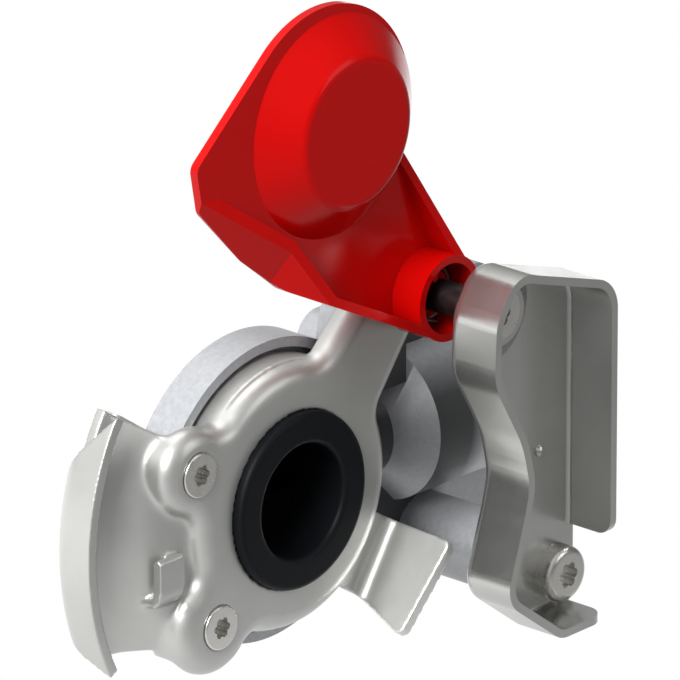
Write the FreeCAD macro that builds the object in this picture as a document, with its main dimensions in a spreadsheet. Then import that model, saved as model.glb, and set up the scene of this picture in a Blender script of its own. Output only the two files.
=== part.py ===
import FreeCAD, Part
import math
import os
from FreeCAD import Vector, Rotation, Placement

# Palm coupling head for a trailer air brake line, in millimetres.
# Origin: seal axis on the flat front face of the claw plate.
# Front of the coupling is -Y, the hose port points along +X, +Z is up.

doc = FreeCAD.newDocument("coupling_head")
sheet = doc.addObject("Spreadsheet::Sheet", "sizes")

DRIVING = {
    # Steel sheets
    "plate_sheet": 2.5,
    "bracket_sheet": 1.8,
    "plate_rim_depth": 5.4,
    "plate_edge_radius": 4.0,
    "collar_gap": 1.3,
    "collar_wall": 1.8,
    "collar_back": 10.6,
    # Seal
    "seal_bore_radius": 12.24,
    "seal_neck_radius": 19.0,
    "seal_stand": 2.2,
    "seal_flange_width": 3.6,
    "seal_flange_depth": 3.2,
    "seal_skirt_radius": 16.0,
    "seal_skirt_depth": 6.0,
    "seal_edge_radius": 1.2,
    # Claw plate outline
    "pad_radius": 28.5,
    "upper_screw_x": -28.9,
    "upper_screw_z": 13.3,
    "upper_boss_radius": 9.4,
    "lower_screw_x": -23.0,
    "lower_screw_z": -21.5,
    "lower_boss_radius": 11.0,
    "ear_radius": 9.4,
    # Trough and claw
    "claw_radius": 57.0,
    "claw_front": 4.3,
    "trough_depth": 12.9,
    "valley_from_claw": 19.0,
    "valley_depth": 3.9,
    "trough_width": 8.4,
    "claw_start_angle": 147.0,
    "claw_end_angle": 222.0,
    "claw_bottom": -25.6,
    # Hook tab in the trough
    "tab_width": 7.2,
    "tab_height": 10.4,
    "tab_sheet": 2.0,
    "tab_left": -39.2,
    "tab_foot": -13.6,
    "tab_front": 1.2,
    "tab_back": 9.0,
    # Locking lug
    "lug_distance": 36.0,
    "lug_angle": -33.4,
    "lug_reach": 12.8,
    # Pivot and cover
    "pivot_x": 33.2,
    "pivot_z": 37.8,
    "sleeve_radius": 3.55,
    "sleeve_wall": 0.5,
    "swing_angle": 106.2,
    "cover_gap": 0.3,
    "cover_wall": 2.0,
    "cover_height": 9.6,
    "dome_base_radius": 23.6,
    "dome_face_radius": 15.6,
    "dome_height": 6.9,
    "cover_rim_radius": 25.4,
    "rim_ahead": 1.65,
    "rim_aside": -1.5,
    "barrel_radius": 9.2,
    "barrel_wall": 1.7,
    "hub_wall": 1.4,
    "running_clearance": 0.08,
    "spring_wire": 1.2,
    "spring_radius": 5.75,
    "spring_pitch": 1.32,
    "spring_turns": 1.5,
    "spring_leg": 3.2,
    # Guide bracket
    "bracket_back": 20.5,
    "bracket_height": 13.5,
    "bracket_bend": 3.0,
    "pivot_seat_height": 4.0,
    "bracket_right": 60.4,
    "bracket_wall_foot": -15.8,
    "bracket_lip_end": 57.3,
    # Screws
    "m5_radius": 2.5,
    "m5_length": 13.5,
    "screw_post_radius": 5.1,
    "m5_head_radius": 4.76,
    "m5_head_stand": 0.6,
    "m6_radius": 3.0,
    "m6_head_radius": 6.0,
    "m6_head_height": 4.3,
    "countersunk_head_radius": 5.6,
    "bracket_screw_x": 54.0,
    "bracket_screw_z": -25.0,
    "screw_clearance": 0.15,
    # Casting
    "chamber_radius": 32.5,
    "chamber_lip": 8.0,
    "band_width": 9.0,
    "band_chamfer": 2.0,
    "chamber_back": 29.5,
    "chamber_back_radius": 15.0,
    "lip_wall": 2.2,
    "port_axis_y": 18.3,
    "port_axis_z": 0.6,
    "port_boss_radius": 17.3,
    "port_start": 45.0,
    "neck_start": 8.0,
    "port_end": 75.0,
    "neck_radius": 10.4,
    "thread_radius": 10.19,
    "thread_depth": 16.0,
    "passage_radius": 6.5,
    "post_radius": 8.2,
    "wall_front": 14.0,
    "wall_thickness": 6.0,
    "wall_top": 29.5,
    "wall_bottom": -26.0,
    "wall_end": 75.0,
}

for row, (alias, value) in enumerate(DRIVING.items(), start=1):
    sheet.set("A%d" % row, alias)
    sheet.set("B%d" % row, repr(value))
    sheet.setAlias("B%d" % row, alias)
doc.recompute()


def size(alias):
    """A driving dimension, read back from the spreadsheet."""
    return float(sheet.get(alias))


# Small helpers for document objects

def sized(kind, name, **expressions):
    """A Part primitive whose properties are bound to the spreadsheet."""
    thing = doc.addObject("Part::" + kind, name)
    for prop, expression in expressions.items():
        thing.setExpression(prop, expression)
    return thing


ALONG_X = Rotation(Vector(0, 1, 0), 90)
ALONG_Y = Rotation(Vector(1, 0, 0), -90)


def rod(name, radius, length, at, turn, taper=None):
    """A cylinder, or a cone when taper gives its far radius, from the point at."""
    if taper is None:
        thing = sized("Cylinder", name, Radius=radius, Height=length)
    else:
        thing = sized("Cone", name, Radius1=radius, Radius2=taper, Height=length)
    thing.Placement = Placement(Vector(0, 0, 0), turn)
    for axis, expression in zip("xyz", at):
        thing.setExpression("Placement.Base." + axis, expression)
    return thing


def joined(name, members):
    """One solid from several."""
    thing = doc.addObject("Part::MultiFuse", name)
    thing.Shapes = members
    thing.Refine = True
    return thing


def cut(name, base, tool):
    thing = doc.addObject("Part::Cut", name)
    thing.Base = base
    thing.Tool = tool
    return thing


def piece(name, shape):
    """A formed piece whose shape is worked out from the spreadsheet sizes."""
    thing = doc.addObject("Part::Feature", name)
    thing.Shape = shape
    thing.Label = name
    return thing


# Small helpers for shapes

def corner_arc(before, corner, after, radius):
    """Where an arc at a corner starts and ends, and the arc, or None for a sharp corner."""
    back = (before - corner).normalize()
    ahead = (after - corner).normalize()
    turn = back.getAngle(ahead)
    if radius <= 0 or abs(math.pi - turn) < 1e-4:
        return corner, corner, None
    reach = radius / math.tan(turn / 2)
    middle = (back + ahead).normalize()
    centre = corner + middle * (radius / math.sin(turn / 2))
    start = corner + back * reach
    end = corner + ahead * reach
    return start, end, Part.Arc(start, centre - middle * radius, end).toShape()


def rounded(points):
    """A closed planar wire through (Vector, corner radius) points, its corners rounded by arcs."""
    count = len(points)
    corners = []
    for index in range(count):
        corner, radius = points[index]
        corners.append(corner_arc(points[index - 1][0], corner, points[(index + 1) % count][0], radius))
    edges = []
    for index in range(count):
        _start, end, arc = corners[index]
        following = corners[(index + 1) % count][0]
        if arc is not None:
            edges.append(arc)
        if (following - end).Length > 1e-6:
            edges.append(Part.LineSegment(end, following).toShape())
    return Part.Wire(edges)


def front_wire(points, depth):
    """A rounded outline in the X Z plane at Y = depth, from (x, z, radius) points."""
    return rounded([(Vector(x, depth, z), radius) for x, z, radius in points])


def prism(wire, along):
    return Part.Face(wire).extrude(along)


def inset(wire, distance):
    """The same outline, moved inwards all round."""
    inner = wire.makeOffset2D(-distance)
    if inner.BoundBox.DiagonalLength > wire.BoundBox.DiagonalLength:
        inner = wire.makeOffset2D(distance)
    return inner


def disc(radius, start, end, x=0.0, z=0.0):
    """A cylinder along Y between two depths."""
    return Part.makeCylinder(radius, end - start, Vector(x, start, z), Vector(0, 1, 0))


def turned(points, start_angle=0.0, sweep=360.0):
    """A profile of (radius, y, corner radius) points, revolved about the seal axis."""
    wire = rounded([(Vector(radius, y, 0), corner) for radius, y, corner in points])
    face = Part.Face(wire)
    face.rotate(Vector(0, 0, 0), Vector(0, 1, 0), -start_angle)
    return face.revolve(Vector(0, 0, 0), Vector(0, 1, 0), -sweep)


def half_space(point, normal):
    """A very large solid on the side of the plane that the normal points to."""
    return Part.makeCylinder(400, 400, point, normal)


def edges_at_depth(shape, depth):
    """The edges that lie wholly in the plane Y = depth."""
    found = []
    for edge in shape.Edges:
        box = edge.BoundBox
        if abs(box.YMin - depth) < 1e-4 and abs(box.YMax - depth) < 1e-4:
            found.append(edge)
    return found


def edges_along_y(shape, keep):
    """The straight edges parallel to Y whose middle passes the keep test."""
    found = []
    for edge in shape.Edges:
        box = edge.BoundBox
        if box.XLength < 1e-4 and box.ZLength < 1e-4 and box.YLength > 0.5:
            if keep(box.Center):
                found.append(edge)
    return found


def star_recess(across, depth, centre, direction):
    """A six-lobed driver recess."""
    lobe = across * 0.17
    core = across * 0.39
    shapes = [Part.makeCylinder(core, depth, centre, direction)]
    side = Rotation(Vector(0, 0, 1), direction)
    for step in range(6):
        angle = math.radians(60 * step)
        offset = side.multVec(Vector(math.cos(angle), math.sin(angle), 0)) * (across / 2 - lobe)
        shapes.append(Part.makeCylinder(lobe, depth, centre + offset, direction))
    return shapes[0].multiFuse(shapes[1:]).removeSplitter()


FORWARD = Vector(0, -1, 0)
BACKWARD = Vector(0, 1, 0)
PIVOT = Vector(size("pivot_x"), 0, size("pivot_z"))
SCREWS = {
    "upper": (size("upper_screw_x"), size("upper_screw_z"), size("upper_boss_radius")),
    "lower": (size("lower_screw_x"), size("lower_screw_z"), size("lower_boss_radius")),
}
PLATE = size("plate_sheet")


# Claw plate: one drawn steel sheet with pad, pivot ear, screw bosses, trough, claw, hook tab and lug

def pad_block(shrink, start, end):
    """The solid behind the raised pad, bosses and pivot ear, made smaller by shrink."""
    pad = size("pad_radius") - shrink
    ear = size("ear_radius") - shrink
    block = [disc(pad, start, end)]
    for x, z, radius in SCREWS.values():
        block.append(disc(radius - shrink, start, end, x, z))
    block.append(disc(ear, start, end, PIVOT.x, PIVOT.z))
    arm = Vector(PIVOT.x, 0, PIVOT.z)
    across = Vector(arm.z, 0, -arm.x).normalize()
    lift = Vector(0, start, 0)
    root = across * (ear * 1.45)
    tip = across * ear
    corners = [-root, arm - tip, arm + tip, root]
    wire = Part.makePolygon([corner + lift for corner in corners + corners[:1]])
    block.append(prism(wire, Vector(0, end - start, 0)))
    whole = block[0].multiFuse(block[1:]).removeSplitter()
    blend = 5.0 + shrink
    hollows = edges_along_y(whole, lambda middle: concave_at(whole, middle))
    return whole.makeFillet(blend, hollows)


def concave_at(shape, middle):
    """True where most of a small circle round the point, across Y, is inside the shape."""
    inside = 0
    for step in range(12):
        angle = math.radians(30 * step + 7)
        probe = middle + Vector(math.cos(angle), 0, math.sin(angle)) * 0.4
        if shape.isInside(probe, 1e-5, True):
            inside += 1
    return inside > 6


def trough_profile(behind):
    """Front or back curve of the trough and claw, closed far behind."""
    outer = size("claw_radius")
    depth = size("trough_depth")
    valley = outer - size("valley_from_claw")
    rise = size("valley_depth")
    foot = outer - size("trough_width")
    if behind:
        return [
            (20, rise + 2.1, 0), (valley - 1, rise + PLATE, 6), (foot - 1, depth + PLATE, 9),
            (outer, depth + PLATE, 5),
            (outer, size("claw_front") - 1, 0), (outer + 8, size("claw_front") - 1, 0),
            (outer + 8, 24, 0), (20, 24, 0),
        ]
    return [
        (20, rise - 0.4, 0), (valley, rise, 8.5), (foot, depth, 6.5), (outer - PLATE, depth, 2.5),
        (outer - PLATE, size("claw_front"), 0), (outer, size("claw_front"), 0),
        (outer, 24, 0), (20, 24, 0),
    ]


def trough_block(behind, extra):
    start = size("claw_start_angle") - extra
    sweep = size("claw_end_angle") + extra - start
    return turned(trough_profile(behind), start, sweep)


def claw_wedge(extra, end):
    """The sector that holds the trough and claw."""
    start = size("claw_start_angle") - extra
    sweep = size("claw_end_angle") + extra - start
    return turned([(20, -1, 0), (80, -1, 0), (80, end, 0), (20, end, 0)], start, sweep)


def claw_end_trims():
    """What the slanted top end, the slanted bottom end and the level bottom edge take away."""
    outer = size("claw_radius")
    front = size("claw_front")
    rim = disc(outer + 20, -1, 30).cut(disc(outer - 6, -2, 31))
    trims = []
    for front_angle, back_angle, side in ((148, 160, 1), (207, 201, -1)):
        points = []
        for angle, depth in ((front_angle, front), (back_angle, front + 9)):
            turn = math.radians(angle)
            points.append(Vector(outer * math.cos(turn), depth, outer * math.sin(turn)))
        axis = Vector(0, front, 0)
        normal = (points[1] - points[0]).cross(axis - points[0]).normalize()
        if normal.z * side < 0:
            normal = normal * -1
        quarter = Part.makeBox(80, 40, 80, Vector(-80, -2, 0 if side > 0 else -80))
        trims.append(half_space(points[0], normal).common(rim).common(quarter))
    trims.append(Part.makeBox(70, 40, 40, Vector(-90, -2, size("claw_bottom") - 40)))
    return trims


def lug():
    """The locking lug: a tongue bent back round the pad and then forwards."""
    root = size("pad_radius") - 5
    face = size("lug_distance")
    reach = size("lug_reach")
    profile = [
        (root, 3.6, 0), (face, 5.0, 3.0), (face, -reach - 3, 0), (face + PLATE, -reach - 3, 0),
        (face + PLATE, 7.5, 5.5), (root, 6.1, 0),
    ]
    low, high = -18.0, 8.0
    wire = rounded([(Vector(n, y, low), corner) for n, y, corner in profile])
    tongue = prism(wire, Vector(0, 0, high - low))
    side = [
        (6.1, 12, 0), (6.1, 3, 0), (5.4, -reach, 1.8), (-16.7, -reach + 3.3, 1.8),
        (-11.2, 5, 3), (-11.2, 12, 0),
    ]
    trim = rounded([(Vector(root - 1, y, along), corner) for along, y, corner in side])
    tongue = tongue.common(prism(trim, Vector(40, 0, 0)))
    tongue.rotate(Vector(0, 0, 0), Vector(0, 1, 0), -size("lug_angle"))
    return tongue


def collar():
    """The round wall behind the pad that goes into the casting's lip."""
    outer = size("chamber_radius") - size("lip_wall") - size("collar_gap")
    end = size("collar_back")
    wall = disc(outer, 4, end).cut(disc(outer - size("collar_wall"), 3, end + 1))
    posts = [disc(size("screw_post_radius") + 0.4, 3, end + 1, x, z) for x, z, _radius in SCREWS.values()]
    return wall.cut(posts)


def hook_tab():
    """The lanced hook in the trough: out of the sheet, round a bend and up."""
    gauge = size("tab_sheet")
    top = size("tab_height")
    front = size("tab_front")
    back = size("tab_back")
    drop = -1.2
    profile = [
        (front, top, 0.8), (front, 0, 3.8), (back, drop, 0), (back, drop + gauge, 0),
        (front + gauge, gauge, 1.8), (front + gauge, top, 0.5),
    ]
    wire = rounded([(Vector(0, y, z), corner) for y, z, corner in profile])
    tab = prism(wire, Vector(size("tab_width"), 0, 0))
    tab.translate(Vector(size("tab_left"), 0, size("tab_foot")))
    return tab


def claw_plate():
    rim = size("plate_rim_depth")
    edge = size("plate_edge_radius")
    front = pad_block(0, 0, 24)
    front = front.makeFillet(edge, edges_at_depth(front, 0))
    back = pad_block(PLATE, PLATE, 25)
    back = back.makeFillet(edge - PLATE, edges_at_depth(back, PLATE))
    skin = front.fuse(trough_block(False, 0).cut(claw_end_trims()))
    hollow = back.fuse(trough_block(True, 2))
    sheet_metal = skin.cut(hollow)
    behind_rim = disc(90, rim, 26).cut(claw_wedge(0, 27))
    sheet_metal = sheet_metal.cut(behind_rim)
    sheet_metal = sheet_metal.fuse([lug(), hook_tab(), collar()])
    holes = [disc(size("seal_neck_radius"), -1, 9)]
    clear = size("screw_clearance")
    for x, z, _radius in SCREWS.values():
        head = size("m5_head_radius") + 0.05
        shank = size("m5_radius") + clear
        holes.append(disc(shank, -1, 9, x, z))
        holes.append(Part.makeCone(head, shank, head - shank, Vector(x, 0, z), BACKWARD))
    holes.append(disc(size("m6_radius") + clear, -1, 9, PIVOT.x, PIVOT.z))
    return sheet_metal.cut(holes).removeSplitter()


piece("claw_plate", claw_plate())


# Seal: a turned rubber ring, its neck through the plate and its flange clamped behind it

def seal_ring():
    bore = size("seal_bore_radius")
    neck = size("seal_neck_radius")
    edge = size("seal_edge_radius")
    flange = neck + size("seal_flange_width")
    flange_back = PLATE + size("seal_flange_depth")
    skirt_back = flange_back + size("seal_skirt_depth")
    profile = [
        (bore, -size("seal_stand"), edge), (neck, -size("seal_stand"), edge), (neck, PLATE, 0),
        (flange, PLATE, 0), (flange, flange_back, 0), (size("seal_skirt_radius"), flange_back, 0),
        (size("seal_skirt_radius"), skirt_back, 0), (bore, skirt_back, 0),
    ]
    return turned(profile)


piece("seal_ring", seal_ring())


# Casting: air chamber, port neck and boss, mounting wall, pivot arm and screw posts

def body_casting():
    seat = "(sizes.plate_sheet + sizes.seal_flange_depth)"
    chamber = rod("chamber", "sizes.chamber_radius", "sizes.band_width",
                  ("0", "sizes.chamber_lip", "0"), ALONG_Y)
    shoulder = rod("chamber_shoulder", "sizes.chamber_radius", "sizes.band_chamfer",
                   ("0", "sizes.chamber_lip + sizes.band_width", "0"), ALONG_Y,
                   "sizes.chamber_radius - 3 * sizes.band_chamfer")
    taper = rod("chamber_taper", "sizes.chamber_back_radius + 5",
                "sizes.chamber_back - sizes.chamber_lip - sizes.band_width",
                ("0", "sizes.chamber_lip + sizes.band_width", "0"), ALONG_Y,
                "sizes.chamber_back_radius")
    front = rod("seal_seat", "sizes.seal_neck_radius + sizes.seal_flange_width + 0.4",
                "sizes.chamber_lip + sizes.band_width - " + seat, ("0", seat, "0"), ALONG_Y)
    neck = rod("neck", "sizes.neck_radius", "sizes.port_start - sizes.neck_start",
               ("sizes.neck_start", "sizes.port_axis_y", "sizes.port_axis_z"), ALONG_X)
    flare_length = "(sizes.port_boss_radius - sizes.neck_radius)"
    flare = rod("flare", "sizes.neck_radius", flare_length,
                ("sizes.port_start - " + flare_length, "sizes.port_axis_y", "sizes.port_axis_z"),
                ALONG_X, "sizes.port_boss_radius")
    boss = rod("port_boss", "sizes.port_boss_radius", "sizes.port_end - sizes.port_start",
               ("sizes.port_start", "sizes.port_axis_y", "sizes.port_axis_z"), ALONG_X)
    post = rod("bracket_post", "sizes.post_radius",
               "sizes.wall_front + 1 + sizes.bracket_back",
               ("sizes.bracket_screw_x", "-sizes.bracket_back", "sizes.bracket_screw_z"), ALONG_Y)
    ear_start = "(sizes.plate_rim_depth + 0.1)"
    ear = rod("pivot_boss", "sizes.ear_radius",
              "sizes.wall_front + 0.2 - " + ear_start,
              ("sizes.pivot_x", ear_start, "sizes.pivot_z"), ALONG_Y)
    ear_seat = rod("pivot_seat", "sizes.ear_radius - sizes.plate_edge_radius", "8",
                   ("sizes.pivot_x", "sizes.plate_sheet", "sizes.pivot_z"), ALONG_Y)
    solids = [chamber, shoulder, taper, front, neck, flare, boss, post, ear, ear_seat]
    for name in SCREWS:
        solids.append(rod(name + "_screw_post", "sizes.screw_post_radius", "sizes.chamber_lip + 6",
                          ("sizes.%s_screw_x" % name, "sizes.plate_sheet", "sizes.%s_screw_z" % name),
                          ALONG_Y))
    core = joined("casting_core", solids)
    doc.recompute()
    return core


def casting_webs():
    """The mounting wall, the arm up to the pivot and the palm behind the trough."""
    front = size("wall_front")
    thick = size("wall_thickness")
    top = size("wall_top")
    bottom = size("wall_bottom")
    end = size("wall_end")
    wall = front_wire([(16, bottom, 0), (end, bottom, 5), (end, top, 5), (24, top, 6), (16, 14, 0)], front)
    webs = [prism(wall, Vector(0, thick, 0))]
    post = size("post_radius")
    foot_x = size("bracket_screw_x")
    foot_z = size("bracket_screw_z")
    webs.append(disc(post, front, front + thick, foot_x, foot_z))
    ear = size("ear_radius")
    arm = front_wire([
        (20, 20, 0), (22.3, 31.6, 8), (PIVOT.x - ear + 2.4, PIVOT.z + 3, 0), (PIVOT.x, PIVOT.z + 1, 0),
        (PIVOT.x + ear, PIVOT.z, 0), (PIVOT.x + ear, 12, 0), (20, 12, 0),
    ], PLATE + 6)
    webs.append(prism(arm, Vector(0, front + 0.2 - PLATE - 6, 0)))
    back = size("trough_depth") + PLATE
    start = size("claw_start_angle") - 1
    sweep = size("claw_end_angle") - 20 - start
    palm = [(26, back + 0.1, 0), (44, back + 0.1, 1.5), (44, back + 4, 1.5), (26, back + 4, 0)]
    webs.append(turned(palm, start, sweep))
    return webs


def body_hollows():
    """Lip recess, air chamber, cross passage, threaded port and screw holes."""
    lip = size("chamber_lip")
    outer = size("chamber_radius") - size("lip_wall")
    seat = PLATE + size("seal_flange_depth")
    skirt = seat + size("seal_skirt_depth")
    ring = disc(outer, lip - 1, lip + 3).cut(
        disc(size("seal_neck_radius") + size("seal_flange_width") + 0.4, lip - 2, lip + 4))
    for x, z, _radius in SCREWS.values():
        ring = ring.cut(disc(size("screw_post_radius"), lip - 2, lip + 4, x, z))
    bore = size("seal_bore_radius") + 0.8
    axis = Vector(0, size("port_axis_y"), size("port_axis_z"))
    right = Vector(1, 0, 0)
    port_end = size("port_end")
    mouth = Vector(port_end - size("thread_depth"), axis.y, axis.z)
    clear = size("screw_clearance")
    hollows = [
        ring,
        disc(size("seal_skirt_radius"), seat - 1, skirt),
        disc(bore, skirt - 1, size("chamber_back") - 6.5),
        Part.makeCylinder(size("passage_radius"), port_end, axis, right),
        Part.makeCylinder(size("thread_radius"), size("thread_depth") + 1, mouth, right),
        Part.makeCone(size("thread_radius"), size("thread_radius") + 1.2, 1.2,
                      Vector(port_end - 1.2, axis.y, axis.z), right),
        disc(size("m6_radius"), -size("bracket_back") - 1, -2, size("bracket_screw_x"),
             size("bracket_screw_z")),
        disc(size("m6_radius"), 0, 13, PIVOT.x, PIVOT.z),
    ]
    for x, z, _radius in SCREWS.values():
        hollows.append(disc(size("m5_radius"), PLATE - 1, size("m5_length") + clear, x, z))
    return hollows


def coupling_body():
    core = body_casting().Shape
    solid = core.multiFuse(casting_webs())
    keep_out = trough_block(False, 2).cut(half_space(Vector(0, size("trough_depth") + PLATE + 0.1, 0),
                                                      BACKWARD))
    bosses = [disc(size("screw_post_radius"), 0, 20, x, z) for x, z, _radius in SCREWS.values()]
    keep_out = keep_out.cut([disc(size("chamber_radius") + 0.01, size("chamber_lip"), 30)] + bosses)
    return solid.cut([keep_out] + body_hollows()).removeSplitter()


piece("coupling_body", coupling_body())


# Guide bracket: a drawn sheet cup, open to the front

def bracket_outline(depth):
    ear = size("ear_radius") + 0.6
    right = size("bracket_right")
    x, z = PIVOT.x, PIVOT.z
    tilt = Vector(math.sin(math.radians(14)), 0, math.cos(math.radians(14)))
    return front_wire([
        (26.4, -21.6, 6.5), (32.0, -4.5, 26), (33.6, 2.0, 12), (31.4, 11.5, 26),
        (x - ear - 0.6, z - 11.0, 12), (x - ear, z + 2.2, 8),
        (x - 3.6, z + ear + 2.1, 7), (x + tilt.x * ear, z + tilt.z * ear, 0),
        (right, z + 2.0, 8), (right, -33.9, 3.5), (43.5, -34.3, 6),
    ], depth)


def guide_bracket():
    gauge = size("bracket_sheet")
    back = -size("bracket_back")
    height = size("bracket_height")
    bend = size("bracket_bend")
    outline = bracket_outline(back)
    outer = prism(outline, Vector(0, -height, 0))
    outer = outer.makeFillet(bend, edges_at_depth(outer, back))
    inner_wire = inset(outline, gauge)
    inner_wire.translate(Vector(0, -gauge, 0))
    inner = prism(inner_wire, Vector(0, -height, 0))
    inner = inner.makeFillet(bend - gauge, edges_at_depth(inner, back - gauge))
    cup = outer.cut(inner)
    right = size("bracket_right")
    foot = size("bracket_wall_foot")
    end = size("bracket_lip_end")
    floor = -60
    window = rounded([
        (Vector(end, back - gauge, foot), 0), (Vector(end, back - height, foot), 3.5),
        (Vector(end, back - height, foot + 3.4), 0), (Vector(end, back - height - 2, foot + 3.4), 0),
        (Vector(end, back - height - 2, floor), 0), (Vector(end, back - gauge, floor), 0),
    ])
    cup = cup.cut(prism(window, Vector(12, 0, 0)))
    lip_corner = rounded([
        (Vector(end, back - height, floor), 4), (Vector(end - 5, back - height, floor), 0),
        (Vector(end - 5, back - height - 2, floor), 0), (Vector(end + 2, back - height - 2, floor), 0),
        (Vector(end + 2, back - height + 5, floor), 0), (Vector(end, back - height + 5, floor), 0),
    ])
    cup = cup.cut(prism(lip_corner, Vector(0, 0, 44)))
    clear = size("screw_clearance")
    holes = [disc(size("m6_radius") + clear, back - 4, back + 1, size("bracket_screw_x"),
                  size("bracket_screw_z"))]
    head = size("countersunk_head_radius") + 0.05
    shank = size("m6_radius") + clear
    cone_start = Vector(PIVOT.x, back - gauge - size("pivot_seat_height"), PIVOT.z)
    seat = Part.makeCone(head + 1.2, head + 7.0, back - gauge + 0.3 - cone_start.y, cone_start, BACKWARD)
    cup = cup.fuse(seat.common(outer))
    holes.append(disc(shank, back - 8, back + 1, PIVOT.x, PIVOT.z))
    holes.append(Part.makeCone(head, shank, head - shank, cone_start, BACKWARD))
    dimple = Part.makeSphere(1.3, Vector(49.3, back - gauge + 0.3, 2.6))
    return cup.cut(holes).fuse(dimple).removeSplitter()


piece("guide_bracket", guide_bracket())


# Screws

def countersunk_screw(x, z, front, radius, head, length, stand=0.0):
    """A countersunk screw along Y, its head seated at front and standing proud of it by stand."""
    shank = disc(radius, front, front + length, x, z)
    if stand > 0:
        rim = disc(head, front - stand, front, x, z)
        shank = shank.fuse(rim.makeFillet(stand * 0.6, edges_at_depth(rim, front - stand)))
    cone = Part.makeCone(head, radius, head - radius, Vector(x, front, z), BACKWARD)
    recess = star_recess(head * 0.98, head * 0.42 + stand, Vector(x, front - stand - 0.01, z), BACKWARD)
    return shank.fuse(cone).cut(recess).removeSplitter()


for name, (screw_x, screw_z, _boss) in SCREWS.items():
    piece("plate_screw_" + name, countersunk_screw(
        screw_x, screw_z, 0.0, size("m5_radius"), size("m5_head_radius"), size("m5_length"),
        size("m5_head_stand")))

PIVOT_FACE = -size("bracket_back") - size("bracket_sheet") - size("pivot_seat_height")
piece("pivot_screw", countersunk_screw(
    PIVOT.x, PIVOT.z, PIVOT_FACE, size("m6_radius"), size("countersunk_head_radius"),
    12.5 - PIVOT_FACE))


def bracket_screw():
    x = size("bracket_screw_x")
    z = size("bracket_screw_z")
    web = -size("bracket_back") - size("bracket_sheet")
    face = web - size("m6_head_height")
    head = disc(size("m6_head_radius"), face, web, x, z)
    head = head.makeFillet(1.6, edges_at_depth(head, face))
    shank = disc(size("m6_radius"), web - 0.5, -3, x, z)
    recess = star_recess(size("m6_head_radius") * 0.95, 2.4, Vector(x, face - 0.01, z), BACKWARD)
    return head.fuse(shank).cut(recess).removeSplitter()


piece("bracket_screw", bracket_screw())


# Pivot sleeve: the spacer tube that the cover turns on

sleeve_length = "sizes.bracket_back"
sleeve_at = ("sizes.pivot_x", "-sizes.bracket_back", "sizes.pivot_z")
tube = rod("sleeve_tube", "sizes.sleeve_radius", sleeve_length, sleeve_at, ALONG_Y)
hole = rod("sleeve_hole", "sizes.sleeve_radius - sizes.sleeve_wall", sleeve_length, sleeve_at, ALONG_Y)
sleeve = cut("pivot_sleeve", tube, hole)


# Cover: a moulded tray with a dome for the seal and a barrel for the pivot

SWING = math.radians(size("swing_angle"))
REACH = math.hypot(PIVOT.x, PIVOT.z)
CLOSED = math.atan2(-PIVOT.z, -PIVOT.x)
ARM = Vector(math.cos(CLOSED - SWING), 0, math.sin(CLOSED - SWING))
ACROSS = Vector(ARM.z, 0, -ARM.x)
DOME = PIVOT + ARM * REACH
WEB_BACK = -size("seal_stand") - size("cover_gap")
WEB_FRONT = WEB_BACK - size("cover_wall")
RIM_FRONT = WEB_BACK - size("cover_height")
SPRING_BACK = WEB_FRONT - size("spring_wire") / 2 - 0.15
SPRING_TURN = -70.0


def on_cover(along, aside, depth):
    """A point given by its distance from the pivot towards the dome, and to the right of that."""
    return PIVOT + ARM * along + ACROSS * aside + Vector(0, depth, 0)


def on_circle(centre, radius, angle, depth):
    """A point on a circle, its angle measured from the arm towards the right."""
    return (centre + ARM * (radius * math.cos(angle)) + ACROSS * (radius * math.sin(angle))
            + Vector(0, depth, 0))


def cover_outline(depth):
    rim = size("cover_rim_radius")
    barrel = size("barrel_radius")
    middle = DOME + ARM * size("rim_ahead") + ACROSS * size("rim_aside")
    dome_out = math.asin(13.2 / rim)
    left_corner = on_cover(72.6, -33.6, depth)
    sight = left_corner - middle - Vector(0, depth, 0)
    tangent_in = math.atan2(sight.dot(ACROSS), sight.dot(ARM)) + math.acos(rim / sight.Length)
    notch = on_circle(middle, rim, math.pi - dome_out, depth)
    barrel_right = on_circle(PIVOT, barrel, math.radians(82), depth)
    barrel_left = on_circle(PIVOT, barrel, math.radians(-106), depth)
    barrel_foot = on_circle(PIVOT, barrel, math.radians(167), depth)
    dome_left = on_circle(middle, rim, tangent_in, depth)
    dome_top = on_circle(middle, rim, (math.pi - dome_out + tangent_in) / 2, depth)
    edges = [
        Part.LineSegment(barrel_right, notch).toShape(),
        Part.Arc(notch, dome_top, dome_left).toShape(),
    ]
    corners = [(dome_left, 0), (left_corner, 2.5), (on_cover(63.2, -37.4, depth), 3.0),
               (on_cover(45.0, -33.9, depth), 10), (on_cover(31.6, -29.4, depth), 10), (barrel_left, 0)]
    last = dome_left
    for index in range(1, len(corners) - 1):
        corner, radius = corners[index]
        start, end, arc = corner_arc(corners[index - 1][0], corner, corners[index + 1][0], radius)
        edges.append(Part.LineSegment(last, start).toShape())
        edges.append(arc)
        last = end
    edges.append(Part.LineSegment(last, barrel_left).toShape())
    edges.append(Part.Arc(barrel_left, barrel_foot, barrel_right).toShape())
    return Part.Wire(edges)


def plane_through(first, second, third, inside):
    """A plane's point and its normal pointing to the side away from the point inside."""
    normal = (second - first).cross(third - first).normalize()
    if normal.dot(inside - first) > 0:
        normal = normal * -1
    return first, normal


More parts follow.
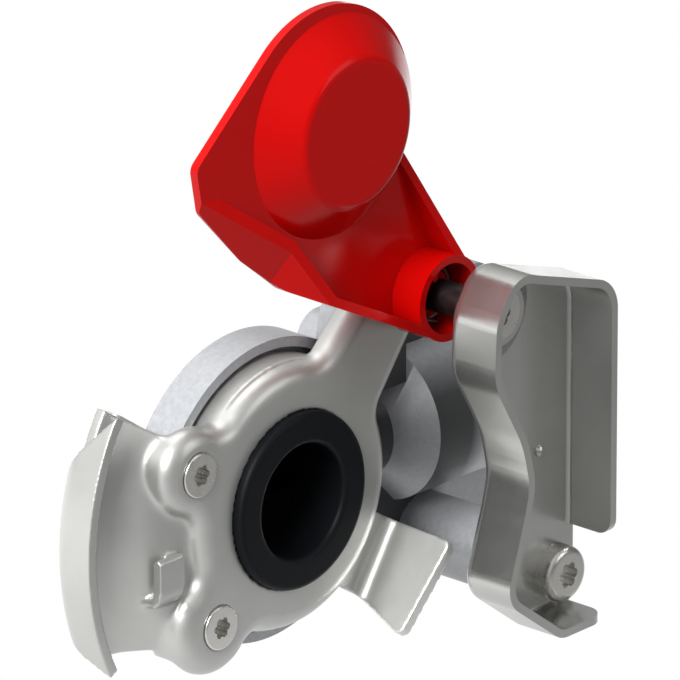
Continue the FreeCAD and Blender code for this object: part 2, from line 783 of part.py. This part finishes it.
def cover_trims():
    """The slanted front of the walls, and the two ramps along the lower edge."""
    core = on_cover(35, 0, WEB_BACK)
    front = plane_through(on_cover(30, 15, WEB_FRONT), on_cover(66, -37, WEB_FRONT),
                          on_cover(0, 0, RIM_FRONT), core)
    ramp = plane_through(on_cover(66.0, -37.2, WEB_FRONT + 0.6), on_cover(40.1, -25.5, WEB_FRONT - 3.4),
                         on_cover(38.5, -32.4, WEB_BACK), core)
    turn = plane_through(on_cover(40.1, -25.5, WEB_FRONT - 3.4), on_cover(24.5, -24.0, RIM_FRONT),
                         on_cover(35.0, -31.2, WEB_BACK), core)
    return front, [ramp, turn]


def swing_cover():
    wall = size("cover_wall")
    height = size("cover_height")
    outline = cover_outline(WEB_BACK)
    front, ramps = cover_trims()
    outer = prism(outline, Vector(0, -height, 0))
    inner_wire = inset(outline, wall)
    inner_wire.translate(Vector(0, -wall, 0))
    inner = prism(inner_wire, Vector(0, -height, 0))
    beyond = [half_space(point, normal) for point, normal in ramps]
    outer = outer.cut(beyond[0].common(beyond[1]))
    beyond = [half_space(point - normal * wall, normal) for point, normal in ramps]
    inner = inner.cut(beyond[0].common(beyond[1]))
    web = outer.common(prism(outline, Vector(0, -wall, 0)))
    outer = outer.cut(half_space(front[0], front[1])).fuse(web)
    tray = outer.cut(inner)
    base = size("dome_base_radius")
    face = size("dome_face_radius")
    top = WEB_FRONT - size("dome_height")
    dome = rounded([
        (Vector(0, WEB_BACK, 0), 0), (Vector(base, WEB_BACK, 0), 0), (Vector(base, WEB_FRONT, 0), 0),
        (Vector(face, top, 0), 2.6), (Vector(0, top, 0), 0),
    ])
    hollow = rounded([
        (Vector(0, WEB_BACK + 1, 0), 0), (Vector(base - wall, WEB_BACK + 1, 0), 0),
        (Vector(base - wall, WEB_BACK - 0.6, 0), 0), (Vector(face - wall * 0.6, top + wall, 0), 1.2),
        (Vector(0, top + wall, 0), 0),
    ])
    turn_axis = (Vector(0, 0, 0), Vector(0, 1, 0), 360)
    shell = Part.Face(dome).revolve(*turn_axis)
    void = Part.Face(hollow).revolve(*turn_axis)
    shell.translate(DOME)
    void.translate(DOME)
    tray = tray.fuse(shell).cut(void)
    barrel = size("barrel_radius")
    bore = barrel - size("barrel_wall")
    pin = size("sleeve_radius") + size("running_clearance")
    hub = pin + size("hub_wall")
    hub_front = WEB_FRONT - 2 * size("spring_wire")
    tray = tray.fuse(disc(barrel, RIM_FRONT, WEB_BACK, PIVOT.x, PIVOT.z))
    tray = tray.cut(disc(bore, RIM_FRONT - 1, WEB_FRONT, PIVOT.x, PIVOT.z))
    fin_turn = math.degrees(math.atan2(ARM.z, ARM.x))
    coil_front = SPRING_BACK - size("spring_pitch") * size("spring_turns") - size("spring_wire") / 2
    fin = Part.makeBox(bore - hub + 0.5, coil_front - 0.15 - RIM_FRONT - 1.2, 1.3,
                       Vector(hub + 0.2, RIM_FRONT + 1.2, -0.65))
    fin.rotate(Vector(0, 0, 0), Vector(0, 1, 0), -fin_turn)
    fin.translate(Vector(PIVOT.x, 0, PIVOT.z))
    tray = tray.fuse([disc(hub, hub_front, WEB_BACK, PIVOT.x, PIVOT.z), fin])
    tray = tray.cut(disc(pin, RIM_FRONT - 1, WEB_BACK + 1, PIVOT.x, PIVOT.z))
    return tray.removeSplitter()


piece("cover", swing_cover())


# Torsion spring: two turns round the hub, made of half turns that each climb half the pitch

def torsion_spring():
    radius = size("spring_radius")
    pitch = size("spring_pitch")
    half_turns = int(2 * size("spring_turns"))
    tilt = math.atan(pitch / 4 / radius)
    fin_side = Rotation(Vector(0, 1, 0), SPRING_TURN)
    parts = []
    for number in range(half_turns):
        side = 1 - 2 * (number % 2)
        out = Vector(side * math.cos(tilt), math.sin(tilt), 0)
        up = Vector(0, 0, side)
        half = sized("Torus", "spring_half_%d" % number, Radius2="sizes.spring_wire / 2",
                     Radius1="sqrt(sizes.spring_radius ^ 2 + (sizes.spring_pitch / 4) ^ 2)")
        half.Angle3 = 180
        middle = Vector(PIVOT.x, SPRING_BACK - pitch * (number + 0.5) / 2, PIVOT.z)
        half.Placement = Placement(middle, fin_side * Rotation(out, up, out.cross(up), "XYZ"))
        parts.append(half)
    for name, number, away in (("spring_back_leg", 0, -1), ("spring_front_leg", half_turns, 1)):
        leg = sized("Cylinder", name, Radius="sizes.spring_wire / 2", Height="sizes.spring_leg")
        side = 1 - 2 * (number % 2)
        foot = fin_side.multVec(Vector(side * radius, 0, 0))
        foot = foot + Vector(PIVOT.x, SPRING_BACK - pitch * number / 2, PIVOT.z)
        lie = Rotation(Vector(0, 0, 1), fin_side.multVec(Vector(0, 0, away * side)))
        leg.Placement = Placement(foot, lie)
        parts.append(leg)
    return joined("torsion_spring", parts)


torsion_spring()
doc.recompute()


# Check every object and write one file for each piece

PIECES = [
    "coupling_body", "claw_plate", "seal_ring", "plate_screw_upper", "plate_screw_lower",
    "guide_bracket", "bracket_screw", "pivot_screw", "pivot_sleeve", "torsion_spring", "cover",
]

for thing in doc.Objects:
    bad = [state for state in thing.State if state in ("Invalid", "Error")]
    if bad:
        raise RuntimeError("%s did not recompute: %s" % (thing.Name, bad))

os.makedirs("parts", exist_ok=True)
for name in PIECES:
    thing = doc.getObject(name)
    shape = thing.Shape
    if shape.isNull() or not shape.isValid():
        raise RuntimeError("%s has no valid shape" % name)
    shape.exportStep("parts/%s.step" % name)
    box = shape.BoundBox
    print("%-20s solids %d faces %3d volume %9.1f  X %6.1f %6.1f  Y %6.1f %6.1f  Z %6.1f %6.1f" % (
        name, len(shape.Solids), len(shape.Faces), shape.Volume,
        box.XMin, box.XMax, box.YMin, box.YMax, box.ZMin, box.ZMax))
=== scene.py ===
import math

import bpy
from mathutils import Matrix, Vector


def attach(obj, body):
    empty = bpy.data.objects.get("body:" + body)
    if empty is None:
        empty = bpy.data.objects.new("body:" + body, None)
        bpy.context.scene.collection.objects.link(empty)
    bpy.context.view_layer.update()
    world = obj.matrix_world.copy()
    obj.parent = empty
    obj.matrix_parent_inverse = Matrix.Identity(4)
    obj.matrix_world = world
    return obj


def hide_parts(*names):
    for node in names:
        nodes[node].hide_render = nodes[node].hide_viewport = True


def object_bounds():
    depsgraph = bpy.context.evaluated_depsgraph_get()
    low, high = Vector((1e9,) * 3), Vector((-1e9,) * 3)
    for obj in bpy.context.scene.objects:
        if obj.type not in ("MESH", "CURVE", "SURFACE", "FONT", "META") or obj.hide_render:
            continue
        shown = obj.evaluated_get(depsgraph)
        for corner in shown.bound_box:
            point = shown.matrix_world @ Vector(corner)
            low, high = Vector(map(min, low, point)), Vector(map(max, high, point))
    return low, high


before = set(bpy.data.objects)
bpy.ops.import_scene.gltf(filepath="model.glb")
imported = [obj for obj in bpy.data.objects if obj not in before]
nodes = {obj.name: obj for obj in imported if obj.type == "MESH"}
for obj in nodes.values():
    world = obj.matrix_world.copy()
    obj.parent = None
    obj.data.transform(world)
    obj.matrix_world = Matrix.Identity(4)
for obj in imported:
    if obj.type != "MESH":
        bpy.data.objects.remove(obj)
cad_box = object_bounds()


# Photograph's view: a very long lens, aimed beside the seal's axis

AZIMUTH = math.radians(47.4)
ELEVATION = math.radians(20.0)
DISTANCE = 2.5
VIEW_WIDTH = 680 / 4890
AIM_RIGHT = 0.00887
AIM_UP = 0.0326

right = Vector((math.cos(AZIMUTH), -math.sin(AZIMUTH), 0))
back = Vector((-math.cos(ELEVATION) * math.sin(AZIMUTH),
               -math.cos(ELEVATION) * math.cos(AZIMUTH),
               math.sin(ELEVATION)))
up = back.cross(right)

camera = bpy.data.objects.new("camera", bpy.data.cameras.new("camera"))
bpy.context.scene.collection.objects.link(camera)
camera.data.sensor_width = 36
camera.data.lens = 36 * DISTANCE / VIEW_WIDTH
camera.data.clip_end = 20
camera.location = right * AIM_RIGHT + up * AIM_UP + back * DISTANCE
camera.rotation_euler = (-back).to_track_quat("-Z", "Y").to_euler()
bpy.context.scene.camera = camera


# Node helpers

def give(tree, socket, value):
    """Links an input to a socket, or sets its value."""
    if isinstance(value, bpy.types.NodeSocket):
        tree.links.new(value, socket)
    else:
        socket.default_value = value


def add(tree, kind, *values, **settings):
    """A node: values go to its inputs in order, settings to its properties or to inputs by name."""
    node = tree.nodes.new("ShaderNode" + kind)
    for name, value in settings.items():
        if hasattr(node, name):
            setattr(node, name, value)
        else:
            give(tree, node.inputs[name.replace("_", " ")], value)
    for socket, value in zip(node.inputs, values):
        give(tree, socket, value)
    return node


def maths(tree, operation, *values):
    """One step with numbers, its result returned."""
    return add(tree, "Math", *values, operation=operation).outputs[0]


def vectors(tree, operation, *values, **settings):
    """One step with vectors or colours, its result returned."""
    node = add(tree, "VectorMath", *values, operation=operation, **settings)
    return node.outputs["Value" if operation in ("DOT_PRODUCT", "LENGTH") else "Vector"]


def remap(tree, source, low, high, new_low=0.0, new_high=1.0):
    """A number taken from one range to another, and kept inside it."""
    return add(tree, "MapRange", source, low, high, new_low, new_high).outputs[0]


def ramp(tree, source, stops):
    """A grey ramp over (position, shade) stops."""
    node = add(tree, "ValToRGB", source)
    elements = node.color_ramp.elements
    while len(elements) < len(stops):
        elements.new(0.5)
    for element, (position, shade) in zip(elements, stops):
        element.position = position
        element.color = (shade, shade, shade, 1)
    return node.outputs["Color"]


def effect(name, inputs, outputs):
    """A shader node group with named sockets, its input and output nodes returned."""
    group = bpy.data.node_groups.new(name, "ShaderNodeTree")
    for label, kind, value in inputs:
        socket = group.interface.new_socket(label, in_out="INPUT", socket_type="NodeSocket" + kind)
        socket.default_value = value
    for label, kind in outputs:
        group.interface.new_socket(label, in_out="OUTPUT", socket_type="NodeSocket" + kind)
    return group, group.nodes.new("NodeGroupInput"), group.nodes.new("NodeGroupOutput")


def place_group(tree, group, **values):
    """A shared effect in a material, with its own values."""
    node = tree.nodes.new("ShaderNodeGroup")
    node.node_tree = group
    for name, value in values.items():
        node.inputs[name].default_value = value
    return node


# Shared effects: mottle varies a colour softly, grain is a fine relief

NOISE_LOW = 0.3
NOISE_HIGH = 0.7
BROAD_GRAIN = 0.13
BROAD_SHARE = 0.3


def noise(tree, scale, **settings):
    """Noise that keeps its place on the piece."""
    place = add(tree, "TexCoord")
    return add(tree, "TexNoise", Vector=place.outputs["Object"], Scale=scale, **settings).outputs["Fac"]


def make_mottle():
    group, given, result = effect(
        "mottle",
        [("Colour", "Color", (0.5, 0.5, 0.5, 1)), ("Spread", "Float", 0.1), ("Scale", "Float", 60.0)],
        [("Colour", "Color"), ("Mask", "Float")])
    mask = noise(group, given.outputs["Scale"], Detail=6.0, Roughness=0.62)
    darkest = maths(group, "SUBTRACT", 1.0, given.outputs["Spread"])
    lightest = maths(group, "ADD", 1.0, given.outputs["Spread"])
    shade = remap(group, mask, NOISE_LOW, NOISE_HIGH, darkest, lightest)
    varied = vectors(group, "SCALE", given.outputs["Colour"], Scale=shade)
    give(group, result.inputs["Colour"], varied)
    give(group, result.inputs["Mask"], mask)
    return group


def make_grain():
    group, given, result = effect("grain", [("Scale", "Float", 1500.0)], [("Height", "Float")])
    fine = noise(group, given.outputs["Scale"], Detail=3.0, Roughness=0.6)
    broad_scale = maths(group, "MULTIPLY", given.outputs["Scale"], BROAD_GRAIN)
    broad = noise(group, broad_scale, Detail=2.0)
    height = add(group, "Mix", data_type="FLOAT", Factor=BROAD_SHARE, A=fine, B=broad)
    give(group, result.inputs["Height"], height.outputs["Result"])
    return group


mottle = make_mottle()
grain = make_grain()


# Finishes

def finish(name, colour, spread, blotch, rough, relief, grain_scale, **shader):
    """A material: mottled colour, roughness that follows the mottle, and a fine relief."""
    material = bpy.data.materials.new(name)
    material.use_nodes = True
    tree = material.node_tree
    surface = tree.nodes["Principled BSDF"]
    for socket, value in shader.items():
        surface.inputs[socket.replace("_", " ")].default_value = value
    tint = place_group(tree, mottle, Colour=(*colour, 1), Spread=spread, Scale=blotch)
    give(tree, surface.inputs["Base Color"], tint.outputs["Colour"])
    roughness = remap(tree, tint.outputs["Mask"], NOISE_LOW, NOISE_HIGH, *rough)
    give(tree, surface.inputs["Roughness"], roughness)
    height = place_group(tree, grain, Scale=grain_scale).outputs["Height"]
    strength, depth = relief
    bump = add(tree, "Bump", Strength=strength, Distance=depth, Height=height)
    give(tree, surface.inputs["Normal"], bump.outputs["Normal"])
    return material


plate_steel = finish(
    "plate_steel", (0.47, 0.472, 0.456), spread=0.04, blotch=90.0, rough=(0.33, 0.41),
    relief=(0.25, 0.0001), grain_scale=2600.0, Metallic=0.70)
bracket_steel = finish(
    "bracket_steel", (0.50, 0.502, 0.485), spread=0.03, blotch=90.0, rough=(0.20, 0.27),
    relief=(0.25, 0.0001), grain_scale=2600.0, Metallic=0.88)
screw_steel = finish(
    "screw_steel", (0.62, 0.61, 0.58), spread=0.05, blotch=260.0, rough=(0.24, 0.32),
    relief=(0.2, 0.0001), grain_scale=3500.0, Metallic=1.0)
cast_aluminium = finish(
    "cast_aluminium", (0.42, 0.432, 0.45), spread=0.10, blotch=900.0, rough=(0.42, 0.54),
    relief=(0.6, 0.0002), grain_scale=1700.0, Metallic=0.5)
sleeve_steel = finish(
    "sleeve_steel", (0.07, 0.055, 0.056), spread=0.15, blotch=300.0, rough=(0.35, 0.5),
    relief=(0.2, 0.0001), grain_scale=2000.0, Metallic=1.0)
spring_steel = finish(
    "spring_steel", (0.14, 0.14, 0.145), spread=0.1, blotch=300.0, rough=(0.3, 0.4),
    relief=(0.15, 0.0001), grain_scale=2500.0, Metallic=1.0)
seal_rubber = finish(
    "seal_rubber", (0.0035, 0.0042, 0.0055), spread=0.12, blotch=120.0, rough=(0.45, 0.55),
    relief=(0.2, 0.0001), grain_scale=1800.0, Specular_IOR_Level=0.12)
cover_plastic = finish(
    "cover_plastic", (0.46, 0.0016, 0.0012), spread=0.02, blotch=60.0, rough=(0.15, 0.21),
    relief=(0.03, 0.0001), grain_scale=900.0, Specular_IOR_Level=0.14)


# Painted light and shade on regions of a piece, laid over its finish

# Painted light on the locking lug: its colour is raised by the gain past these distances along its
# outward direction
LUG_ANGLE = math.radians(-33.4)
LUG_DIRECTION = (math.cos(LUG_ANGLE), 0, math.sin(LUG_ANGLE))
LUG_START = 0.0335
LUG_FULL = 0.0350
LUG_PAINTED_LIGHT_GAIN = 1.45

# Painted shade on the casting's front: darkness by how far a surface faces forward, and the band along
# x where it applies
FRONT_PAINTED_SHADE = [(0.0, 0.95), (0.5, 0.8), (0.88, 0.13), (1.0, 0.13)]
FRONT_MIDDLE = 0.036
FRONT_HALF_WIDTH = 0.018
FRONT_FADED = 0.025

# Painted shade inside the casting: the passages, and the near-black colour they are given where shade
# falls
CHAMBER_AXIS = (0, 0, 0), (0, 1, 0)
PORT_AXIS = (0, 0.0183, 0.0006), (1, 0, 0)
PASSAGES = [
    (*CHAMBER_AXIS, 0.0168, 0.0110, 0.0285),
    (*PORT_AXIS, 0.0075, 0.0, 0.0590),
    (*PORT_AXIS, 0.0112, 0.0590, 0.0740),
]
PASSAGE_PAINTED_SHADE = (0.012, 0.013, 0.015, 1)
TURNED_INWARD = 0.0002
COLOUR_A, COLOUR_B, COLOUR_RESULT = 6, 7, 2


def base_colour(material):
    """A material's nodes, its shader's colour input and the socket that feeds it so far."""
    tree = material.node_tree
    colour = tree.nodes["Principled BSDF"].inputs["Base Color"]
    return tree, colour, colour.links[0].from_socket


def paint_light_on_lug(material):
    """Painted light: the locking lug is made brighter than the pad by colour alone, standing in for
    light falling on it.
    """
    tree, colour, plain = base_colour(material)
    place = add(tree, "TexCoord")
    outward = vectors(tree, "DOT_PRODUCT", place.outputs["Object"], LUG_DIRECTION)
    painted_light = remap(tree, outward, LUG_START, LUG_FULL, 1.0, LUG_PAINTED_LIGHT_GAIN)
    give(tree, colour, vectors(tree, "SCALE", plain, Scale=painted_light))


def paint_shade_on_front(material):
    """Painted shade: the casting's front between pad and bracket is darkened by colour alone, most
    where it faces forward.
    """
    tree, colour, plain = base_colour(material)
    place = add(tree, "TexCoord")
    forward = vectors(tree, "DOT_PRODUCT", place.outputs["Normal"], (0, -1, 0))
    along = vectors(tree, "DOT_PRODUCT", place.outputs["Object"], (1, 0, 0))
    distance = maths(tree, "ABSOLUTE", maths(tree, "SUBTRACT", along, FRONT_MIDDLE))
    outside = remap(tree, distance, FRONT_HALF_WIDTH, FRONT_FADED)
    painted_shade = vectors(tree, "MAXIMUM", ramp(tree, forward, FRONT_PAINTED_SHADE), outside)
    give(tree, colour, vectors(tree, "MULTIPLY", plain, painted_shade))


def inside_passage(tree, place, centre, axis, radius, start, end):
    """1 near the axis and between its two depths, where the surface faces the axis, and else 0."""
    offset = vectors(tree, "SUBTRACT", place.outputs["Object"], centre)
    across = vectors(tree, "MULTIPLY", offset, Vector((1, 1, 1)) - Vector(axis))
    near = maths(tree, "LESS_THAN", vectors(tree, "LENGTH", across), radius)
    outward = vectors(tree, "DOT_PRODUCT", place.outputs["Normal"], across)
    inward = maths(tree, "LESS_THAN", outward, TURNED_INWARD)
    depth = vectors(tree, "DOT_PRODUCT", offset, axis)
    between = maths(tree, "COMPARE", depth, (start + end) / 2, (end - start) / 2)
    return maths(tree, "MULTIPLY", maths(tree, "MULTIPLY", near, inward), between)


def paint_shade_in_passages(material):
    """Painted shade: the casting's inside, seen through the seal's bore and the hose port, coloured
    near black.
    """
    tree, colour, plain = base_colour(material)
    place = add(tree, "TexCoord")
    inside = 0.0
    for passage in PASSAGES:
        inside = maths(tree, "MAXIMUM", inside, inside_passage(tree, place, *passage))
    tint = add(tree, "Mix", inside, data_type="RGBA")
    give(tree, tint.inputs[COLOUR_A], plain)
    give(tree, tint.inputs[COLOUR_B], PASSAGE_PAINTED_SHADE)
    give(tree, colour, tint.outputs[COLOUR_RESULT])


# Painted light on the lug, and painted shade on the casting's front and in its passages
paint_light_on_lug(plate_steel)
paint_shade_on_front(cast_aluminium)
paint_shade_in_passages(cast_aluminium)

FINISHES = {
    "coupling_body": cast_aluminium,
    "claw_plate": plate_steel,
    "seal_ring": seal_rubber,
    "plate_screw_upper": screw_steel,
    "plate_screw_lower": screw_steel,
    "guide_bracket": bracket_steel,
    "bracket_screw": screw_steel,
    "pivot_screw": screw_steel,
    "pivot_sleeve": sleeve_steel,
    "torsion_spring": spring_steel,
    "cover": cover_plastic,
}

for name, material in FINISHES.items():
    piece = nodes[name]
    if not piece.material_slots:
        piece.data.materials.append(material)
    for slot in piece.material_slots:
        slot.material = material


# Claw plate as it comes from the press: one flowing sheet, its valleys rounded

PLATE_SCREWS = [(-0.0289, 0.0133), (-0.0230, -0.0215)]
SCREW_SEAT = 0.0062
TAB_X, TAB_HALF_X = -0.0356, 0.0036
TAB_Z, TAB_HALF_Z = -0.0083, 0.0065
TAB_MARGIN = 0.0012
TAB_BACK = 0.0035
TAB_FROM_AXIS = 0.032
VALLEY_INNER = 0.0255
VALLEY_OUTER = 0.0505
VALLEY_SIDE = -0.016
VALLEY_FADE = 0.004
VOXEL = 0.0004
PRESS_PASSES = 60
SETTLE_PASSES = 2


def fade(distance):
    """0 at the rounding's border and outside it, 1 from a little way inside."""
    return min(max(distance / VALLEY_FADE, 0.0), 1.0)


def soft_weight(point):
    """How much of the press's rounding a point of the plate gets, from 0 to 1."""
    from_axis = math.hypot(point.x, point.z)
    for x, z in PLATE_SCREWS:
        if math.hypot(point.x - x, point.z - z) < SCREW_SEAT:
            return 0.0
    from_tab = math.hypot(max(abs(point.x - TAB_X) - TAB_HALF_X, 0),
                          max(abs(point.z - TAB_Z) - TAB_HALF_Z, 0))
    if point.y < TAB_BACK and from_tab < TAB_MARGIN and from_axis > TAB_FROM_AXIS:
        return 0.0
    rise = min(fade(from_axis - VALLEY_INNER), fade(VALLEY_SIDE - point.x))
    return rise * fade(VALLEY_OUTER - from_axis)


def smooth(piece, name, passes):
    modifier = piece.modifiers.new(name, "SMOOTH")
    modifier.factor = 0.5
    modifier.iterations = passes
    return modifier


def pressed_plate():
    piece = bpy.data.objects.new("pressed_plate", nodes["claw_plate"].data.copy())
    bpy.context.scene.collection.objects.link(piece)
    remesh = piece.modifiers.new("even", "REMESH")
    remesh.mode = "VOXEL"
    remesh.voxel_size = VOXEL
    remesh.use_smooth_shade = True
    evaluated = piece.evaluated_get(bpy.context.evaluated_depsgraph_get())
    even = bpy.data.meshes.new_from_object(evaluated)
    piece.modifiers.clear()
    piece.data = even
    valleys = piece.vertex_groups.new(name="valleys")
    for vertex in even.vertices:
        weight = soft_weight(vertex.co)
        if weight > 0:
            valleys.add([vertex.index], weight, "REPLACE")
    smooth(piece, "press", PRESS_PASSES).vertex_group = valleys.name
    smooth(piece, "settle", SETTLE_PASSES)
    even.materials.clear()
    even.materials.append(plate_steel)
    even.shade_smooth()
    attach(piece, "coupler")
    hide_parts("claw_plate")


pressed_plate()


# Studio: pale floor and a room that is brightest behind the object's left side and above it

FLOOR_LEVEL = cad_box[0][2] - 0.012
FLOOR_REACH = 3.0
FLOOR_DIRECTION = (-0.25, 0.97, 0)
FLOOR_FADE = 0.22
FLOOR_TONES = [(0.0, 0.20), (0.32, 0.28), (0.55, 0.75), (1.0, 1.0)]
ROOM_DIRECTION = Vector((-0.62, 0.42, 0.66)).normalized()
ROOM_TONES = [(0.0, 0.08), (0.42, 0.20), (0.72, 0.58), (1.0, 1.0)]
OBJECT_MIDDLE = Vector((0.01, 0, 0.03))


def seen_directly(tree, path):
    """1 for rays that come from the camera or through glass."""
    return maths(tree, "MAXIMUM", path.outputs["Is Camera Ray"], path.outputs["Is Transmission Ray"])


def floor_material():
    """Floor: white to the camera, dim for soft light, and graded where metal mirrors it."""
    material = bpy.data.materials.new("studio_floor")
    material.use_nodes = True
    tree = material.node_tree
    tree.nodes.remove(tree.nodes["Principled BSDF"])
    path = add(tree, "LightPath")
    dim = add(tree, "BsdfDiffuse", (0.22, 0.22, 0.22, 1)).outputs[0]
    white = add(tree, "Emission", Strength=1.0).outputs[0]
    chosen = add(tree, "MixShader", seen_directly(tree, path), dim, white).outputs[0]
    place = add(tree, "NewGeometry")
    side = vectors(tree, "DOT_PRODUCT", place.outputs["Position"], FLOOR_DIRECTION)
    grey = ramp(tree, remap(tree, side, -FLOOR_FADE, FLOOR_FADE), FLOOR_TONES)
    mirrored = add(tree, "Emission", grey, Strength=1.7).outputs[0]
    total = add(tree, "MixShader", path.outputs["Is Glossy Ray"], chosen, mirrored).outputs[0]
    give(tree, tree.nodes["Material Output"].inputs["Surface"], total)
    return material


def studio_floor():
    corners = [(-1, -1), (1, -1), (1, 1), (-1, 1)]
    mesh = bpy.data.meshes.new("studio_floor")
    mesh.from_pydata([(x * FLOOR_REACH, y * FLOOR_REACH, 0) for x, y in corners], [], [(0, 1, 2, 3)])
    mesh.materials.append(floor_material())
    floor = bpy.data.objects.new("studio_floor", mesh)
    floor.location.z = FLOOR_LEVEL
    bpy.context.scene.collection.objects.link(floor)


def studio_world():
    """White where the camera looks, and a softly graded room for light and reflections."""
    world = bpy.data.worlds.new("studio")
    bpy.context.scene.world = world
    world.use_nodes = True
    tree = world.node_tree
    tree.nodes.clear()
    place = add(tree, "TexCoord")
    side = vectors(tree, "DOT_PRODUCT", place.outputs["Generated"], ROOM_DIRECTION)
    grey = ramp(tree, remap(tree, side, -1.0, 1.0), ROOM_TONES)
    room = add(tree, "Background", grey, Strength=1.15).outputs[0]
    white = add(tree, "Background", Strength=1.0).outputs[0]
    seen = seen_directly(tree, add(tree, "LightPath"))
    add(tree, "OutputWorld", add(tree, "MixShader", seen, room, white).outputs[0])


def softbox(name, direction, distance, width, power):
    """A square area light that faces the object's middle."""
    lamp = bpy.data.lights.new(name, "AREA")
    lamp.size = width
    lamp.energy = power
    thing = bpy.data.objects.new(name, lamp)
    thing.location = OBJECT_MIDDLE + Vector(direction).normalized() * distance
    thing.rotation_euler = (OBJECT_MIDDLE - thing.location).to_track_quat("-Z", "Y").to_euler()
    bpy.context.scene.collection.objects.link(thing)


studio_floor()
studio_world()
softbox("key_light", (-0.95, -0.22, 0.69), distance=0.9, width=0.4, power=10.0)
softbox("fill_light", (0.5, -1.0, 0.5), distance=1.0, width=0.5, power=1.5)
softbox("top_light", (0.1, 0.2, 1.0), distance=0.9, width=0.6, power=2.5)

bpy.context.scene.view_settings.view_transform = "Standard"
